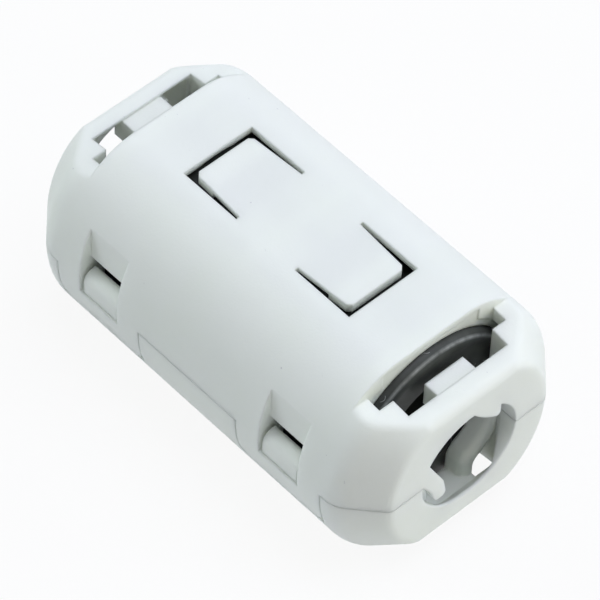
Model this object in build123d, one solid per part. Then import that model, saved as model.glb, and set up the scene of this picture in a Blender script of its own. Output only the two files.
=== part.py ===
from build123d import *
import os

# A clip-on ferrite bead for round cables. The X axis runs along the cable hole,
# Z is up, and the origin is the centre of the hole, on the parting plane.
# All sizes are in millimetres.

# Cable hole, and the split ferrite core around it
hole_diameter = 8.7
core_wall = 2.9
core_length = 27.7
core_edge_radius = 0.9
bore_step = 0.25
core_gap = 0.06
core_clearance = 0.1
core_headroom = 0.55

# Walls of the case, outwards from the core
top_wall = 0.6
cavity_play = 0.7
channel_width = 8.8
end_reach = 3.65
parting_gap = 0.04
rib_offset_share = 0.45
rib_thickness = 1.2

# Outer form of the case: flats on top and below, and tapered ends
case_flat_width = 6.2
taper_length = 2.9
end_drop = 2.15
end_draw = 2.65
end_flat_width = 5.4
end_edge_radius = 0.8
taper_edge_radius = 2.5
roof_step = 1.6
roof_edge_radius = 0.8

# Core windows in both ends of each half
window_setback = 4.35
window_margin = 0.2
pocket_inset = 0.05
pocket_shoulder = 1.4
pocket_neck_width = 5.4
lip_thickness = 0.25
ledge_depth = 1.65
ledge_thickness = 0.25
ear_length = 1.2
ear_reach = 1.25
ear_drop = 4.6
finger_width = 3.5
finger_length = 1.4
finger_drop = 0.1
finger_overlap = 0.8
stand_length = 1.7
stand_thickness = 0.5

# Gripping claw of the upper half, beside the hole
claw_depth = 1.5
claw_root_offset = 4.0
claw_root_height = 2.4
claw_inner_offset = 2.35
claw_inner_drop = 0.7
claw_outer_offset = 3.45
claw_outer_drop = 1.2
claw_bend_radius = 1.2
claw_tip_offset = 1.95
claw_tip_drop = 2.5
claw_tip_width = 1.0
claw_tip_radius = 0.45
claw_gap_offset = 4.6
claw_gap_height = 0.5
claw_gap_radius = 0.25
claw_anchor = 0.6

# Gripping tooth of the upper half, at the top of the hole
tooth_depth = 1.5
tooth_start = 0.1
tooth_end = 2.67
tooth_tip_height = 2.2
tooth_middle = 1.38
tooth_middle_height = 3.04
tooth_tip_radius = 0.25
tooth_anchor = 0.8

# Forked cable saddle of the lower half: two curved arms on legs
saddle_thickness = 0.85
saddle_length = 1.75
saddle_top_angle = -10.0
saddle_turn_angle = -62.0
saddle_leg_thickness = 0.89
saddle_bend_radius = 1.0
saddle_edge_radius = 0.7

# Spring tongues in the top of each half, measured from the middle
tongue_root = 2.9
tongue_slot_end = 8.25
tongue_slot_span = 6.3
tongue_shift = 0.2
tongue_slot_width = 0.6
tongue_slot_root_width = 0.3
tongue_corner = 0.3
tongue_pad_length = 1.9
tongue_pad_inset = 0.6
tongue_thickness = 0.4
tongue_end_thickness = 0.8

# Two latches on the front side
latch_offset_share = 0.33
tab_width = 8.25
tab_drop = 3.6
tab_thickness = 1.1
tab_corner_radius = 1.0
latch_window_width = 3.9
latch_window_drop = 1.3
latch_window_rise = 1.75
latch_clearance = 0.12
hook_width = 3.4
hook_rise = 0.75
hook_thickness = 0.55
hook_tip_width = 0.12
hook_slope_drop = 0.85
hook_play = 0.48
nose_depth = 1.02
nose_drop = 1.2
nose_radius = 0.9

# Living hinge on the rear side
hinge_offset_share = 0.307
strap_width = 8.0
strap_height = 3.4
strap_thickness = 0.35
strap_clearance = 0.04

# How far a cut runs past the face that it opens
overrun = 1.0

hole_radius = hole_diameter / 2
bore_radius = hole_radius + bore_step
core_radius = bore_radius + core_wall
cavity_radius = core_radius + cavity_play
seat_radius = core_radius + core_clearance
seat_half_length = core_length / 2 + core_clearance
half_length = core_length / 2 + end_reach
half_height = core_radius + core_headroom + top_wall
half_width = seat_radius + hook_play + hook_thickness + latch_clearance + tab_thickness
end_half_height = half_height - end_drop
end_half_width = half_width - end_draw
roof_height = half_height - roof_step
window_start = half_length - window_setback
window_half_width = hole_radius + window_margin
pocket_half_width = hole_radius - pocket_inset
ledge_start = half_length - ledge_depth
lip_inside = half_length - lip_thickness
roof_fall = (roof_height - end_half_height) * (ledge_start - window_start) / window_setback
ledge_bottom = roof_height - roof_fall - ledge_thickness
tab_inside = half_width - tab_thickness
hook_outside = tab_inside - latch_clearance
hook_inside = hook_outside - hook_thickness
latch_offset = core_length * latch_offset_share
hinge_offset = core_length * hinge_offset_share
rib_offset = core_length * rib_offset_share
tongue_tip = tongue_slot_end - tongue_slot_width
tongue_half_slot = tongue_slot_span / 2
reach_out = half_width + overrun
reach_up = half_height + overrun
reach_along = half_length + overrun


def block(x_low, x_high, y_low, y_high, z_low, z_high):
    """A box given by its low and high faces."""
    centre = Pos((x_low + x_high) / 2, (y_low + y_high) / 2, (z_low + z_high) / 2)
    return centre * Box(x_high - x_low, y_high - y_low, z_high - z_low)


def tube_along_x(radius, x_low, x_high):
    """A round bar along X between two stations."""
    return extrude(Plane.YZ.offset(x_low) * Circle(radius), x_high - x_low)


def both_ends(shape):
    """A feature of the +X end together with its mirror image at the other end."""
    return shape + mirror(shape, Plane.YZ)


def body_section(x, half_wide, half_tall, flat):
    """Cross-section of the case: two flats joined by two half ellipses."""
    edge = flat / 2
    side = half_wide - edge
    outline = [
        EllipticalCenterArc((edge, 0), side, half_tall, -90, arc_size=180),
        Line((edge, half_tall), (-edge, half_tall)),
        EllipticalCenterArc((-edge, 0), side, half_tall, 90, arc_size=180),
        Line((-edge, -half_tall), (edge, -half_tall)),
    ]
    return Plane.YZ.offset(x) * make_face(outline)


def edges_across(body, x_low, x_high):
    """The edges that lie in one plane across X, at a distance from the middle."""
    found = []
    for edge in body.edges():
        box = edge.bounding_box()
        flat_edge = box.size.X < taper_length / 2
        if flat_edge and x_low < abs(box.center().X) < x_high:
            found.append(edge)
    return found


def outer_body():
    """The closed case from outside: a long barrel with two tapered, rounded ends."""
    barrel_end = half_length - taper_length
    middle_of_taper = half_length - taper_length / 2
    sections = [
        body_section(-half_length, end_half_width, end_half_height, end_flat_width),
        body_section(-barrel_end, half_width, half_height, case_flat_width),
        body_section(barrel_end, half_width, half_height, case_flat_width),
        body_section(half_length, end_half_width, end_half_height, end_flat_width),
    ]
    body = loft(sections, ruled=True)
    body = fillet(edges_across(body, 0, middle_of_taper), taper_edge_radius)
    return fillet(edges_across(body, middle_of_taper, reach_along), end_edge_radius)


def end_roof():
    """Cut that lowers the top of the end wall, with a step down from the barrel."""
    points = [
        (window_start, roof_height),
        (half_length, end_half_height),
        (reach_along, end_half_height),
        (reach_along, reach_up),
        (window_start, reach_up),
    ]
    face = Plane.XZ * make_face(Polyline(*points, close=True))
    return extrude(face, reach_out, both=True)


def roofed_body(body):
    """The upper part of the body with both end roofs, their outer edges rounded."""
    upper = body & block(-reach_along, reach_along, -reach_out, reach_out, parting_gap / 2, reach_up)
    upper -= both_ends(end_roof())
    crease = []
    for edge in upper.edges():
        box = edge.bounding_box()
        outside = abs(box.center().X) > window_start + overrun / 4
        if outside and box.min.Z > end_half_height - roof_edge_radius and box.size.Z < roof_edge_radius / 2:
            crease.append(edge)
    return fillet(crease, roof_edge_radius)


def end_window():
    """Cut that shows the end of the core: a window with two ears, and a pocket below."""
    side = window_half_width
    ears = side + ear_reach
    ear_floor = roof_height - ear_drop
    window = block(window_start, ledge_start, -side, side, 0, reach_up)
    window += block(window_start, window_start + ear_length, -ears, ears, ear_floor, reach_up)
    return window + end_pocket()


def end_pocket():
    """Hollow behind the end wall, which narrows towards the lip of the hole."""
    wide = pocket_half_width
    neck = pocket_neck_width / 2
    shoulder = half_length - pocket_shoulder
    plan = Polyline(
        (ledge_start, -wide),
        (shoulder, -wide),
        (lip_inside, -neck),
        (lip_inside, neck),
        (shoulder, wide),
        (ledge_start, wide),
        close=True,
    )
    side = Polyline(
        (ledge_start, 0),
        (lip_inside, 0),
        (lip_inside, hole_radius),
        (ledge_start, ledge_bottom),
        close=True,
    )
    return extrude(make_face(plan), reach_up) & extrude(Plane.XZ * make_face(side), wide, both=True)


def end_finger(length, side, inside):
    """Finger that points from the end wall towards the core, down to an inside height."""
    tip = ledge_start - length
    root = ledge_start + finger_overlap
    return block(tip, root, -side, side, inside, end_half_height - finger_drop)


def core_cavity():
    """Space inside both halves that holds the core, with a flat channel along its top."""
    section = Circle(cavity_radius) & Rectangle(seat_radius + seat_radius, cavity_radius + cavity_radius)
    ceiling = half_height - top_wall
    section += Rectangle(channel_width, ceiling + ceiling)
    return extrude(Plane.YZ.offset(-seat_half_length) * section, seat_half_length + seat_half_length)


def seat_ribs():
    """Ribs across the cavity, with a round seat on which the core lies."""
    half_rib = rib_thickness / 2
    ribs = None
    for x in (-rib_offset, 0, rib_offset):
        slab = block(x - half_rib, x + half_rib, -reach_out, reach_out, parting_gap / 2, reach_up)
        ribs = slab if ribs is None else ribs + slab
    return (ribs & core_cavity()) - tube_along_x(seat_radius, -reach_along, reach_along)


def tongue_slot():
    """U-shaped slot that frees one spring tongue in the top wall."""
    span = tongue_half_slot
    side = span - tongue_slot_width
    outline = Polyline(
        (tongue_root, -span),
        (tongue_slot_end, -span),
        (tongue_slot_end, span),
        (tongue_root, span),
        (tongue_root, span - tongue_slot_root_width),
        (tongue_tip - tongue_corner, side),
        (tongue_tip, side - tongue_corner),
        (tongue_tip, tongue_corner - side),
        (tongue_tip - tongue_corner, -side),
        (tongue_root, tongue_slot_root_width - span),
        close=True,
    )
    return Pos(0, tongue_shift, 0) * extrude(make_face(outline), reach_up)


def tongue_pad():
    """Thick free end of a spring tongue, with a low pad under it that presses on the core."""
    low = tongue_tip - tongue_pad_length
    side = tongue_half_slot
    bottom = half_height - tongue_end_thickness
    inset = tongue_pad_inset
    pad_side = side - tongue_slot_width - inset
    pad = block(low + inset, tongue_tip - inset, -pad_side, pad_side, seat_radius, bottom)
    pad += block(low, tongue_tip, -side, side, bottom, half_height - tongue_thickness)
    return Pos(0, tongue_shift, 0) * pad


def tongue_relief():
    """Cut under the springy part of a tongue, between its root and its pad."""
    pad_start = tongue_tip - tongue_pad_length
    side = tongue_half_slot
    relief = block(tongue_root, pad_start, -side, side, 0, half_height - tongue_thickness)
    return Pos(0, tongue_shift, 0) * relief


def half_shell(body):
    """What both halves of the case share, drawn as the upper half."""
    shell = roofed_body(body)
    shell -= core_cavity()
    shell += seat_ribs()
    shell += both_ends(tongue_pad())
    shell -= both_ends(tongue_relief() + tongue_slot())
    shell -= both_ends(end_window())
    return shell - tube_along_x(hole_radius, -reach_along, reach_along)


def rounded(face, height, radius):
    """The face with its corners at one height rounded."""
    corners = [v for v in face.vertices() if abs(v.Y - height) < radius / 10]
    return fillet(corners, radius)


def claw():
    """Curved claw that hangs from the upper half and grips the cable."""
    anchor = claw_gap_offset + claw_anchor
    outline = Polyline(
        (-claw_root_offset, claw_root_height),
        (-claw_inner_offset, -claw_inner_drop),
        (-claw_tip_offset, -claw_tip_drop),
        (-claw_tip_offset - claw_tip_width, -claw_tip_drop),
        (-claw_outer_offset, -claw_outer_drop),
        (-claw_gap_offset, claw_gap_height),
        (-anchor, claw_gap_height),
        (-anchor, claw_root_height),
        close=True,
    )
    face = rounded(make_face(outline), -claw_inner_drop, claw_bend_radius)
    face = rounded(face, -claw_outer_drop, claw_bend_radius)
    face = rounded(face, -claw_tip_drop, claw_tip_radius)
    face = rounded(face, claw_gap_height, claw_gap_radius)
    return extrude(Plane.YZ.offset(half_length - claw_depth) * face, claw_depth)


def tooth():
    """Low tooth of the upper half that presses on the cable from above."""
    start = (tooth_start, hole_radius)
    tip = (tooth_end, tooth_tip_height)
    curve = ThreePointArc(start, (tooth_middle, tooth_middle_height), tip)
    root = hole_radius + tooth_anchor
    back = Polyline(tip, (tooth_end, root), (tooth_start, root), start)
    face = make_face([curve, back])
    face = fillet(face.vertices().sort_by(Axis.Y)[0], tooth_tip_radius)
    return extrude(Plane.YZ.offset(half_length - tooth_depth) * face, tooth_depth)


def latch_tab(body):
    """Skirt of the upper half that reaches down over the lower half at one latch."""
    outline = Pos(latch_offset, 0) * Rectangle(tab_width, tab_drop + tab_drop)
    outline = fillet(outline.vertices(), tab_corner_radius)
    return body & extrude(Plane.XZ.offset(tab_inside) * outline, reach_out)


def latch_opening():
    """Recess and slot of the upper half through which the hook's nose shows."""
    low = latch_offset - latch_window_width / 2
    high = latch_offset + latch_window_width / 2
    recess = block(low, high, -reach_out, -tab_inside, -latch_window_drop, half_height)
    return recess + block(low, high, -reach_out, -core_radius, -latch_window_drop, latch_window_rise)


def upper_case(body):
    """Upper half: the shell with stop fingers, latch tabs, claws and teeth."""
    finger = end_finger(finger_length, finger_width / 2, hole_radius)
    case = half_shell(body) + both_ends(finger)
    case += both_ends(latch_tab(body))
    case -= both_ends(latch_opening())
    return case + both_ends(claw() + tooth())


def tab_recess():
    """Space in the lower half for one latch tab and its hook's arm."""
    side = tab_width / 2 + latch_clearance
    floor = -tab_drop - latch_clearance
    recess = block(latch_offset - side, latch_offset + side, -reach_out, -hook_outside, floor, 0)
    side = hook_width / 2 + latch_clearance
    low = latch_offset - side
    high = latch_offset + side
    return recess + block(low, high, -reach_out, -core_radius, -latch_window_drop, 0)


def saddle_arc(radius):
    """Arc of a saddle arm about the hole, from its top to where it turns down."""
    return CenterArc((0, 0), radius, saddle_top_angle, saddle_turn_angle - saddle_top_angle)


def saddle_knee():
    """Point where the outside of a saddle arm turns down into its leg."""
    return saddle_arc(hole_radius + saddle_thickness) @ 1


def saddle_arm():
    """Profile of one arm of the saddle: it follows the hole, then turns down into a leg."""
    foot = finger_drop - end_half_height
    inner = saddle_arc(hole_radius)
    outer = saddle_arc(hole_radius + saddle_thickness)
    bend = inner @ 1
    knee = saddle_knee()
    leg_inside = knee.X - saddle_leg_thickness
    outline = [
        inner,
        Line(bend, (leg_inside, knee.Y)),
        Line((leg_inside, knee.Y), (leg_inside, foot)),
        Line((leg_inside, foot), (knee.X, foot)),
        Line((knee.X, foot), knee),
        outer,
        Line(outer @ 0, inner @ 0),
    ]
    face = rounded(make_face(outline), bend.Y, saddle_bend_radius)
    return rounded(face, knee.Y, saddle_bend_radius)


def saddle():
    """Forked trough of the lower half that carries the cable behind the end wall."""
    arm = extrude(Plane.YZ.offset(seat_half_length) * saddle_arm(), saddle_length)
    middle = hole_radius + saddle_thickness / 2
    mouth = []
    for edge in arm.edges().group_by(Axis.X)[-1]:
        place = edge @ 0.5
        on_leg = place.Y < saddle_knee().X - saddle_leg_thickness / 2
        in_hole = place.Y * place.Y + place.Z * place.Z < middle * middle
        if (on_leg or in_hole) and place.Y < hole_radius:
            mouth.append(edge)
    arm = fillet(mouth, saddle_edge_radius)
    return arm + mirror(arm, Plane.XZ)


def lower_case(body):
    """Lower half: the same shell turned over, with tab recesses, and saddles on thin stands."""
    stand = end_finger(stand_length, saddle_knee().X, end_half_height - stand_thickness)
    case = mirror(half_shell(body) + both_ends(stand), Plane.XY)
    case -= both_ends(tab_recess())
    return case + both_ends(saddle())


def latch_hook(x):
    """Springy hook of the lower half: a thin arm with a rounded nose."""
    nose = hook_outside + nose_depth
    outline = Polyline(
        (-hook_inside, -latch_window_drop),
        (-hook_inside, hook_rise - hook_slope_drop),
        (-hook_outside + hook_tip_width, hook_rise),
        (-nose, hook_rise),
        (-nose, -nose_drop),
        (-hook_outside, -nose_drop),
        (-hook_outside, -latch_window_drop),
        close=True,
    )
    face = make_face(outline)
    nose_top = face.vertices().sort_by(Axis.Y)[-2:].sort_by(Axis.X)[0]
    face = fillet(nose_top, nose_radius)
    return extrude(Plane.YZ.offset(x) * face, hook_width / 2, both=True)


def hinge_strap(x):
    """Thin strap that lies over the parting line and bends as the case opens."""
    inner = strap_clearance
    outer = strap_clearance + strap_thickness
    skin = body_section(x, half_width + outer, half_height + outer, case_flat_width)
    skin -= body_section(x, half_width + inner, half_height + inner, case_flat_width)
    strap = extrude(skin, strap_width / 2, both=True)
    low = x - strap_width / 2
    high = x + strap_width / 2
    return strap & block(low, high, 0, reach_out, -strap_height / 2, strap_height / 2)


def upper_core():
    """Half ring of ferrite with rounded outer end edges."""
    bar = tube_along_x(core_radius, -core_length / 2, core_length / 2)
    bar = fillet(bar.edges().filter_by(GeomType.CIRCLE), core_edge_radius)
    ring = bar - tube_along_x(bore_radius, -reach_along, reach_along)
    return ring & block(-reach_along, reach_along, -reach_out, reach_out, core_gap / 2, reach_up)


def all_nodes():
    """Every piece of the assembly, by its node name."""
    body = outer_body()
    return {
        "upper_case": upper_case(body),
        "lower_case": lower_case(body),
        "upper_core": upper_core(),
        "lower_core": mirror(upper_core(), Plane.XY),
        "front_latch_hook": latch_hook(latch_offset),
        "rear_latch_hook": latch_hook(-latch_offset),
        "front_hinge_strap": hinge_strap(hinge_offset),
        "rear_hinge_strap": hinge_strap(-hinge_offset),
    }


os.makedirs("parts", exist_ok=True)
for name, piece in all_nodes().items():
    export_step(piece, f"parts/{name}.step")
    print(name, len(piece.solids()), round(piece.volume, 1))
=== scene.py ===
# %% [markdown]
# # A clip-on ferrite bead
#
# A clip-on ferrite bead is a split ring of dark ferrite in a hinged nylon case.
# The case, the core, the hooks and the hinge come from the CAD model, which is
# loaded here as a fixed frame. This lesson dresses that frame: it gives the
# plastic and the ferrite their finishes, builds thin skins for the hinge straps,
# and sets up the studio and the camera.

# %% Load the frame
import math

import bmesh
import bpy
import numpy as np
from mathutils import Matrix, Vector


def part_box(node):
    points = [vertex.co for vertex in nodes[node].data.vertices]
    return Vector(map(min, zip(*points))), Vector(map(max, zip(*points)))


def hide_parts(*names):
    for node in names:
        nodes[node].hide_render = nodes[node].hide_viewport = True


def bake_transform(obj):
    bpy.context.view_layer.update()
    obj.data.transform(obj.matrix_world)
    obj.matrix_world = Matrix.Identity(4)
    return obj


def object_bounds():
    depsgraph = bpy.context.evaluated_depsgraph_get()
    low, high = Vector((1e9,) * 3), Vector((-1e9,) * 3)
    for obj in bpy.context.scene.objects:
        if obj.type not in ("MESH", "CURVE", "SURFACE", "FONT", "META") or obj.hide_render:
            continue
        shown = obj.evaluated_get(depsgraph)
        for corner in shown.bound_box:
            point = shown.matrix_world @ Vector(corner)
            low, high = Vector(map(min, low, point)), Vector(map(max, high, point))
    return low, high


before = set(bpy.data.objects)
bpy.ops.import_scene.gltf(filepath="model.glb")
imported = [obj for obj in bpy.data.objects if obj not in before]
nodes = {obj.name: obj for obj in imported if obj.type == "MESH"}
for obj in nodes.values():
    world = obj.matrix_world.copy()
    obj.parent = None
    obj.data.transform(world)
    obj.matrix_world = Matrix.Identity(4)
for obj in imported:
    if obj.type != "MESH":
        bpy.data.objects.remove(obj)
cad_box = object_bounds()
MM = 0.001
print("nodes:", sorted(nodes))

# %% [markdown]
# ## Building a finish from nodes
#
# Every finish below is a small graph of shader nodes. It could be wired node by
# node, but that hides the idea behind long lists of links. The helpers keep the
# graphs short: a noise field in object space, so that the grain has a real size
# in millimetres, a colour ramp on a field, a tint laid over a ground colour, and
# a sum on two values.

# %% Helpers for nodes and fields


def add_node(material, kind, **inputs):
    """A new node of that kind, with the named input sockets set."""
    node = material.node_tree.nodes.new(kind)
    for name, value in inputs.items():
        node.inputs[name.replace("_", " ")].default_value = value
    return node


def wire(material, source, output, target, socket):
    """Connects one node's output to another node's input."""
    material.node_tree.links.new(source.outputs[output], target.inputs[socket])


def grain_field(material, grain_mm, detail=2.0):
    """Noise in object space whose blobs are about grain_mm across."""
    place = add_node(material, "ShaderNodeTexCoord")
    scale = 1.0 / (grain_mm * MM)
    noise = add_node(material, "ShaderNodeTexNoise", Scale=scale, Detail=detail)
    wire(material, place, "Object", noise, "Vector")
    return noise


def new_finish(name):
    """An empty node material with its shader, ready to be wired."""
    material = bpy.data.materials.new(name)
    material.use_nodes = True
    return material, material.node_tree.nodes["Principled BSDF"]


# %% Helpers for colours and sums
MIX_FACTOR, MIX_UNDER, MIX_OVER = 0, 6, 7
MIX_RESULT = 2


def tint_ramp(material, field, span, colours):
    """A ramp from the first colour to the second as the field goes through the span."""
    ramp = add_node(material, "ShaderNodeValToRGB")
    for element, position, colour in zip(ramp.color_ramp.elements, span, colours):
        element.position = position
        element.color = (*colour, 1.0)
    wire(material, field, "Fac", ramp, "Fac")
    return ramp.outputs["Color"]


def mix_tint(material, share, ground, tint):
    """Lays a tint over a ground colour where the share is one."""
    mix = add_node(material, "ShaderNodeMix")
    mix.data_type = "RGBA"
    mix.inputs[MIX_OVER].default_value = (*tint, 1.0)
    material.node_tree.links.new(share, mix.inputs[MIX_FACTOR])
    material.node_tree.links.new(ground, mix.inputs[MIX_UNDER])
    return mix.outputs[MIX_RESULT]


def sums(material, operation, first, second=0.0):
    """One math node: an operation on outputs or numbers."""
    node = add_node(material, "ShaderNodeMath")
    node.operation = operation
    for socket, value in zip(node.inputs, (first, second)):
        if isinstance(value, float):
            socket.default_value = value
        else:
            material.node_tree.links.new(value, socket)
    return node.outputs["Value"]


def add_grain(material, shader, grain_mm, detail, strength, height):
    """A fine bump on the shader's normal. Returns the bump node."""
    grain = grain_field(material, grain_mm, detail)
    bump = add_node(material, "ShaderNodeBump", Strength=strength, Distance=height)
    wire(material, grain, "Fac", bump, "Height")
    wire(material, bump, "Normal", shader, "Normal")
    return bump


# %% [markdown]
# ## Off-white nylon
#
# The case is injection-moulded nylon. It is nearly white, and it has the fine
# matte grain of a spark-eroded mould. Light goes almost a millimetre into it and
# comes out a little yellow-green, so thin walls glow in the recesses and every
# edge looks soft. A flat white would look like paint: subsurface scattering
# gives the glow, a bevelled normal gives the soft edges, and noise gives the
# grain, a slow drift in tint and a few dark specks.

# %% Nylon finish
NYLON_PALE = (0.915, 0.955, 0.870)
NYLON_DEEP = (0.900, 0.941, 0.850)
NYLON_SPECK = (0.70, 0.72, 0.68)
NYLON_ROUGHNESS = (0.50, 0.64)
NYLON_SHINE = 0.35
DRIFT_SPAN = (0.3, 0.7)
SPECK_SPAN = (0.80, 0.84)
BLACK_TO_WHITE = ((0.0, 0.0, 0.0), (1.0, 1.0, 1.0))
EDGE_SOFTNESS = 0.22 * MM
EDGE_SAMPLES = 8
NYLON_GRAIN = {"grain_mm": 0.16, "detail": 3.0, "strength": 0.50, "height": 0.020 * MM}
GLOW_SHARE = 0.8
GLOW_DEPTH = 0.7 * MM
GLOW_TINT = (1.0, 1.0, 1.0)


def nylon_colour(material):
    """A slow drift between two pale tints, with dark specks at the peaks of a fine noise."""
    drift = grain_field(material, grain_mm=6.0)
    ground = tint_ramp(material, drift, DRIFT_SPAN, (NYLON_DEEP, NYLON_PALE))
    dirt = grain_field(material, grain_mm=0.35, detail=1.0)
    specks = tint_ramp(material, dirt, SPECK_SPAN, BLACK_TO_WHITE)
    return mix_tint(material, specks, ground, NYLON_SPECK)


def nylon_finish():
    """Matte moulded nylon: drifting tint, fine grain, soft edges, and light that goes in."""
    material, shader = new_finish("case_nylon")
    material.node_tree.links.new(nylon_colour(material), shader.inputs["Base Color"])
    sheen = grain_field(material, grain_mm=0.5, detail=3.0)
    dull = add_node(material, "ShaderNodeMapRange")
    dull.inputs["To Min"].default_value, dull.inputs["To Max"].default_value = NYLON_ROUGHNESS
    wire(material, sheen, "Fac", dull, "Value")
    wire(material, dull, "Result", shader, "Roughness")
    edge = add_node(material, "ShaderNodeBevel", Radius=EDGE_SOFTNESS)
    edge.samples = EDGE_SAMPLES
    bump = add_grain(material, shader, **NYLON_GRAIN)
    wire(material, edge, "Normal", bump, "Normal")
    shader.inputs["Subsurface Weight"].default_value = GLOW_SHARE
    shader.inputs["Subsurface Radius"].default_value = GLOW_TINT
    shader.inputs["Subsurface Scale"].default_value = GLOW_DEPTH
    shader.inputs["Specular IOR Level"].default_value = NYLON_SHINE
    return material


nylon = nylon_finish()
print("finish:", nylon.name, "with", len(nylon.node_tree.nodes), "nodes")

# %% [markdown]
# ## Worn edges with a painted highlight, and scratches of the core
#
# The core is pressed and fired like a ceramic, then tumbled in a drum. That rubs
# its rounded end edges pale and leaves fine scratches. The pale ring on the end
# edge is partly that wear and partly a painted highlight, which stands in for the
# lamp's reflection on the rounded edge. Both could be painted on an unwrapped
# surface, but they follow from the shape: the pale ring is found from the distance
# to the core's axis and to its end, and a scratch is a thin contour line of a slow
# noise field, broken into short pieces by a second field.

# %% Worn edges with a painted highlight, and scratches
# Where the pale end ring sits: partly real wear and partly a painted highlight on the rounded
# end edge.
WORN_HIGHLIT_STATION = 13.62 * MM
WORN_HIGHLIT_RADIUS = 7.20 * MM
WORN_HIGHLIT_WIDTH = 0.20 * MM
SCRATCH_LEVEL = 0.5
SCRATCH_HALF_WIDTH = 0.004
SCRATCH_GAPS = 0.60


def span_of(material, first, second):
    """The root of the sum of two squares."""
    squares = (sums(material, "MULTIPLY", value, value) for value in (first, second))
    return sums(material, "SQRT", sums(material, "ADD", *squares))


def worn_and_highlit_edge(material):
    """Worn edge and painted highlight: one at the rounded end edge, falling to zero a width away
    from that ring.
    """
    place = add_node(material, "ShaderNodeTexCoord")
    axes = add_node(material, "ShaderNodeSeparateXYZ")
    wire(material, place, "Object", axes, "Vector")
    x, y, z = (axes.outputs[name] for name in "XYZ")
    along = sums(material, "SUBTRACT", sums(material, "ABSOLUTE", x), WORN_HIGHLIT_STATION)
    from_axis = span_of(material, y, z)
    outwards = sums(material, "SUBTRACT", from_axis, WORN_HIGHLIT_RADIUS)
    nearness = sums(material, "DIVIDE", span_of(material, along, outwards), WORN_HIGHLIT_WIDTH)
    return sums(material, "MAXIMUM", sums(material, "SUBTRACT", 1.0, nearness), 0.0)


def scratches(material):
    """One on thin contour lines of a slow field, where a second field allows it."""
    slow = grain_field(material, grain_mm=2.6, detail=1.0)
    off_level = sums(material, "SUBTRACT", slow.outputs["Fac"], SCRATCH_LEVEL)
    line = sums(material, "LESS_THAN", sums(material, "ABSOLUTE", off_level), SCRATCH_HALF_WIDTH)
    gaps = grain_field(material, grain_mm=1.3)
    piece = sums(material, "GREATER_THAN", gaps.outputs["Fac"], SCRATCH_GAPS)
    return sums(material, "MULTIPLY", line, piece)


# The ring reported here is the worn end edge together with its painted highlight.
print("rubbed ring at", WORN_HIGHLIT_STATION / MM, "mm along and", WORN_HIGHLIT_RADIUS / MM, "mm out")

# %% [markdown]
# ## Sintered ferrite
#
# Fired ferrite is dark grey and a little mottled, with a slight sheen and the
# fine grain of its powder. One dark colour would look like a hole in the case,
# so a mottled ground carries the worn end edges with their painted highlight, and the scratches.

# %% Ferrite finish
FERRITE_DARK = (0.034, 0.036, 0.034)
FERRITE_GREY = (0.060, 0.063, 0.059)
SCRATCH_GREY = (0.22, 0.22, 0.22)
# Pale grey of the end ring: real wear and a painted highlight in one.
WORN_AND_HIGHLIT_GREY = (0.40, 0.41, 0.40)
MOTTLE_SPAN = (0.3, 0.72)
FERRITE_GRAIN = {"grain_mm": 0.1, "detail": 4.0, "strength": 0.3, "height": 0.01 * MM}
FERRITE_ROUGHNESS = 0.40
FERRITE_SHINE = 0.18


def ferrite_finish():
    """Dark fired ferrite: mottled grey, fine grain, pale scratches, and end edges that are
    partly worn and partly a painted highlight.
    """
    material, shader = new_finish("core_ferrite")
    mottle = grain_field(material, grain_mm=1.6, detail=5.0)
    ground = tint_ramp(material, mottle, MOTTLE_SPAN, (FERRITE_DARK, FERRITE_GREY))
    patches = grain_field(material, grain_mm=0.5, detail=3.0)
    # The end ring mixes real wear with a painted highlight, broken into patches.
    worn_and_highlit = sums(material, "MULTIPLY", worn_and_highlit_edge(material), patches.outputs["Fac"])
    worn_and_highlit_ground = mix_tint(material, worn_and_highlit, ground, WORN_AND_HIGHLIT_GREY)
    scratched_and_highlit = mix_tint(material, scratches(material), worn_and_highlit_ground, SCRATCH_GREY)
    material.node_tree.links.new(scratched_and_highlit, shader.inputs["Base Color"])
    add_grain(material, shader, **FERRITE_GRAIN)
    shader.inputs["Roughness"].default_value = FERRITE_ROUGHNESS
    shader.inputs["Specular IOR Level"].default_value = FERRITE_SHINE
    return material


ferrite = ferrite_finish()
print("finish:", ferrite.name, "with", len(ferrite.node_tree.nodes), "nodes")

# %% [markdown]
# ## Dressing the CAD nodes
#
# The case halves, hooks and cores already have their true shapes, so they keep
# their meshes and only get a finish: ferrite for the cores, nylon for the rest.
# Rebuilding them here would only risk a second, slightly different shape.

# %% Dress the CAD nodes
for name, node in nodes.items():
    node.data.materials.clear()
    node.data.materials.append(ferrite if "core" in name else nylon)
    print(name, "->", node.data.materials[0].name)

# %% [markdown]
# ## Hinge straps
#
# Two thin straps join the halves at the back. They are moulded in one piece with
# the case, with a groove along the parting line so that they fold there. A rigid
# box would tear away as the lid opens, so each strap is a thin skin worked out on
# a grid, which lies on the wall of the case across the groove.

# %% Hinge strap surface
STRAP_ROWS = 61
STRAP_COLUMNS = 33
STRAP_THICKNESS = 0.33 * MM
STRAP_RAMP = 0.55 * MM
STRAP_SIDE = 0.14 * MM
GROOVE_DEPTH = 0.16 * MM
GROOVE_WIDTH = 0.20 * MM
WALL_FLAT = 3.1 * MM
WALL_BULGE = 6.79 * MM
WALL_HEIGHT = 8.69 * MM


def strap_skin(x, z, middle, half_width, half_height):
    """Height of the strap over the wall of the case.

    It is the strap's thickness less the groove, times a smooth ramp at the top and
    bottom, times a quarter round at the sides. The groove is a bell curve in z.
    """
    ramp = np.clip((half_height - np.abs(z)) / STRAP_RAMP, 0.0, 1.0)
    ramp = ramp * ramp * (3.0 - 2.0 * ramp)
    inset = np.clip((half_width - np.abs(x - middle)) / STRAP_SIDE, 0.0, 1.0)
    side = np.sqrt(1.0 - (1.0 - inset) ** 2)
    groove = GROOVE_DEPTH * np.exp(-((z / GROOVE_WIDTH) ** 2))
    return (STRAP_THICKNESS - groove) * ramp * side


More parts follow.
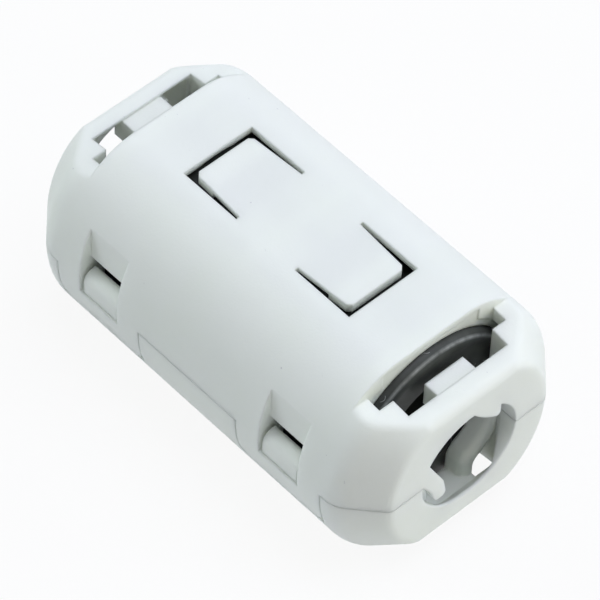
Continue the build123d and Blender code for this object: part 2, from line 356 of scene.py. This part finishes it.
def strap_sheets(low, high):
    """The outer and the inner sheet of a strap, as one array of points.

    The inner sheet is the wall's ellipse, y = flat + bulge * sqrt(1 - (z / height)^2).
    The outer one is the same, raised by the strap's height. Columns crowd to the sides.
    """
    middle = (low[0] + high[0]) / 2
    half_width = (high[0] - low[0]) / 2
    half_height = (high[2] - low[2]) / 2
    steps = np.linspace(-1.0, 1.0, STRAP_COLUMNS)
    columns = middle + half_width * np.sin(steps * np.pi / 2)
    rows = np.linspace(-half_height, half_height, STRAP_ROWS)
    x, z = np.meshgrid(columns, rows)
    wall = WALL_FLAT + WALL_BULGE * np.sqrt(1.0 - (z / WALL_HEIGHT) ** 2)
    outside = wall + strap_skin(x, z, middle, half_width, half_height)
    sheets = [np.stack([x, y, z], axis=-1).reshape(-1, 3) for y in (outside, wall)]
    return np.concatenate(sheets)


def sheet_faces():
    """Four corners for each cell of the outer grid, and the same turned round for the inner."""
    count = STRAP_ROWS * STRAP_COLUMNS
    index = np.arange(count).reshape(STRAP_ROWS, STRAP_COLUMNS)
    corners = [index[:-1, :-1], index[1:, :-1], index[1:, 1:], index[:-1, 1:]]
    front = np.stack(corners, axis=-1).reshape(-1, 4)
    return np.concatenate([front, front[:, ::-1] + count])


# %% Hinge strap mesh
RIM_MERGE = 0.002 * MM


def strap_piece(name, low, high):
    """A smooth mesh object from the two sheets of a strap."""
    mesh = bpy.data.meshes.new(name)
    mesh.from_pydata(strap_sheets(low, high).tolist(), [], sheet_faces().tolist())
    mesh.polygons.foreach_set("use_smooth", np.ones(len(mesh.polygons), dtype=bool))
    piece = bpy.data.objects.new(name, mesh)
    bpy.context.scene.collection.objects.link(piece)
    return piece


def close_rim(piece):
    """Joins the two sheets where they meet at the rim, and turns the faces outwards."""
    shape = bmesh.new()
    shape.from_mesh(piece.data)
    bmesh.ops.remove_doubles(shape, verts=shape.verts, dist=RIM_MERGE)
    bmesh.ops.recalc_face_normals(shape, faces=shape.faces)
    shape.to_mesh(piece.data)
    shape.free()


for end in ("front", "rear"):
    low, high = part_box(f"{end}_hinge_strap")
    strap = strap_piece(f"{end}_hinge_skin", low, high)
    close_rim(strap)
    strap.data.materials.append(nylon)
    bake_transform(strap)
    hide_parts(f"{end}_hinge_strap")
    print(strap.name, len(strap.data.polygons), "faces")

# %% [markdown]
# ## Floor and background
#
# The bead lies on pale paper in front of a white background. Enough light to make
# the paper white would wash out the bead, so floor and world are white only to
# the camera and to reflections, and add no light to the bead. A share of the
# floor stays plain paper, so that it keeps the bead's shadow.

# %% Floor
FLOOR_SIZE = 4.0
FLOOR_PAPER = (0.86, 0.86, 0.86, 1.0)
FLOOR_ROUGHNESS = 0.9
FLOOR_GLOW = 0.9
PLAIN_WHITE = (1.0, 1.0, 1.0, 1.0)
floor_height = cad_box[0][2]


def camera_facing_rays(tree):
    """One for rays of the camera, reflections and clear bodies, zero for light that bounces."""
    path = tree.nodes.new("ShaderNodeLightPath")
    total = path.outputs["Is Camera Ray"]
    for name in ("Is Glossy Ray", "Is Transmission Ray"):
        larger = tree.nodes.new("ShaderNodeMath")
        larger.operation = "MAXIMUM"
        tree.links.new(total, larger.inputs[0])
        tree.links.new(path.outputs[name], larger.inputs[1])
        total = larger.outputs["Value"]
    return total


def floor_piece():
    """A flat square sheet under the bead, with one face."""
    half = FLOOR_SIZE / 2
    corners = np.array([(-half, -half), (half, -half), (half, half), (-half, half)])
    places = np.column_stack([corners, np.full(len(corners), floor_height)])
    mesh = bpy.data.meshes.new("floor")
    mesh.from_pydata(places.tolist(), [], [list(range(len(corners)))])
    piece = bpy.data.objects.new("floor", mesh)
    bpy.context.scene.collection.objects.link(piece)
    return piece


def floor_finish():
    """White paper that keeps a soft shadow and shows white to the camera."""
    material, shader = new_finish("floor_paper")
    shader.inputs["Base Color"].default_value = FLOOR_PAPER
    shader.inputs["Roughness"].default_value = FLOOR_ROUGHNESS
    tree = material.node_tree
    glow = tree.nodes.new("ShaderNodeEmission")
    glow.inputs["Color"].default_value = PLAIN_WHITE
    share = sums(material, "MULTIPLY", camera_facing_rays(tree), FLOOR_GLOW)
    mix = tree.nodes.new("ShaderNodeMixShader")
    tree.links.new(share, mix.inputs["Fac"])
    tree.links.new(shader.outputs["BSDF"], mix.inputs[1])
    tree.links.new(glow.outputs["Emission"], mix.inputs[2])
    tree.links.new(mix.outputs["Shader"], tree.nodes["Material Output"].inputs["Surface"])
    return material


floor = floor_piece()
floor.data.materials.append(floor_finish())
print("floor at", round(floor_height / MM, 2), "mm")

# %% World
SKY_COLOUR = (0.97, 0.99, 1.0, 1.0)
SKY_STRENGTH = 0.12

world = bpy.data.worlds.new("studio")
bpy.context.scene.world = world
world.use_nodes = True
air = world.node_tree
sky = air.nodes["Background"]
sky.inputs["Color"].default_value = SKY_COLOUR
sky.inputs["Strength"].default_value = SKY_STRENGTH
white = air.nodes.new("ShaderNodeBackground")
white.inputs["Color"].default_value = PLAIN_WHITE
choose = air.nodes.new("ShaderNodeMixShader")
air.links.new(camera_facing_rays(air), choose.inputs["Fac"])
air.links.new(sky.outputs["Background"], choose.inputs[1])
air.links.new(white.outputs["Background"], choose.inputs[2])
air.links.new(choose.outputs["Shader"], air.nodes["World Output"].inputs["Surface"])
print("world:", world.name)

# %% [markdown]
# ## Lamps
#
# The photo has soft light from above and weaker light from the sides. A single
# lamp would leave one side black, and a bright sky would flatten the shape. So a
# wide lamp overhead makes the top the brightest face, one on each side keeps the
# round sides from going dark, and a weak warm one lifts the near end.

# %% Lamps
LAMPS = {
    "overhead": {"place": (0.05, 0.12, 0.55), "size": 0.45, "power": 2.36,
                 "colour": (0.833, 0.865, 1.0)},
    "hinge_side": {"place": (0.35, 0.40, 0.30), "size": 0.30, "power": 1.13,
                   "colour": (0.80, 0.89, 1.0)},
    "latch_side": {"place": (-0.45, -0.30, 0.30), "size": 0.30, "power": 1.12,
                   "colour": (0.876, 1.0, 0.986)},
    "near_end": {"place": (0.55, 0.10, 0.08), "size": 0.30, "power": 0.46,
                 "colour": (1.0, 0.92, 0.50)},
}


def area_lamp(name, place, size, power, colour):
    """A square soft lamp that looks at the bead."""
    lamp = bpy.data.lights.new(name, "AREA")
    lamp.size = size
    lamp.energy = power
    lamp.color = colour
    piece = bpy.data.objects.new(name, lamp)
    bpy.context.scene.collection.objects.link(piece)
    piece.location = place
    piece.rotation_euler = (-Vector(place)).to_track_quat("-Z", "Y").to_euler()


for name, facts in LAMPS.items():
    area_lamp(name, **facts)
print("lamps:", list(LAMPS))

# %% [markdown]
# ## Camera
#
# The photo looks down on the bead from its near end, through a long lens. The
# camera could be moved by eye, but small turns show in every edge, so its turn,
# height, tilt and distance are a fit to the case's outline.

# %% Camera
TURN_DEG = 44.995
HEIGHT_DEG = 51.54
TILT_DEG = 3.09
DISTANCE = 334.0 * MM
NEAREST_SHARE = 100
PIXELS_PER_MM = 14.544
CENTRE_PIXEL = (293.23, 301.58)
PHOTO_PIXELS = 600
SENSOR = 36.0

turn, height, tilt = (math.radians(a) for a in (TURN_DEG, HEIGHT_DEG, TILT_DEG))
level = Vector((math.cos(turn), math.sin(turn), 0.0))
outward = Vector((math.sin(turn), -math.cos(turn), 0.0))
back = math.cos(height) * outward + math.sin(height) * Vector((0.0, 0.0, 1.0))
upward = back.cross(level)
right = math.cos(tilt) * level + math.sin(tilt) * upward
up = math.cos(tilt) * upward - math.sin(tilt) * level
lens = bpy.data.cameras.new("camera")
lens.sensor_width = SENSOR
lens.lens = PIXELS_PER_MM / MM * DISTANCE / PHOTO_PIXELS * SENSOR
lens.shift_x = 0.5 - CENTRE_PIXEL[0] / PHOTO_PIXELS
lens.shift_y = CENTRE_PIXEL[1] / PHOTO_PIXELS - 0.5
lens.clip_start = DISTANCE / NEAREST_SHARE
camera = bpy.data.objects.new("camera", lens)
bpy.context.scene.collection.objects.link(camera)
pose = Matrix((right, up, back)).transposed().to_4x4()
pose.translation = back * DISTANCE
camera.matrix_world = pose
bpy.context.scene.camera = camera
bpy.context.scene.view_settings.view_transform = "Standard"
print("lens", round(lens.lens, 1), "shift", round(lens.shift_x, 4), round(lens.shift_y, 4))
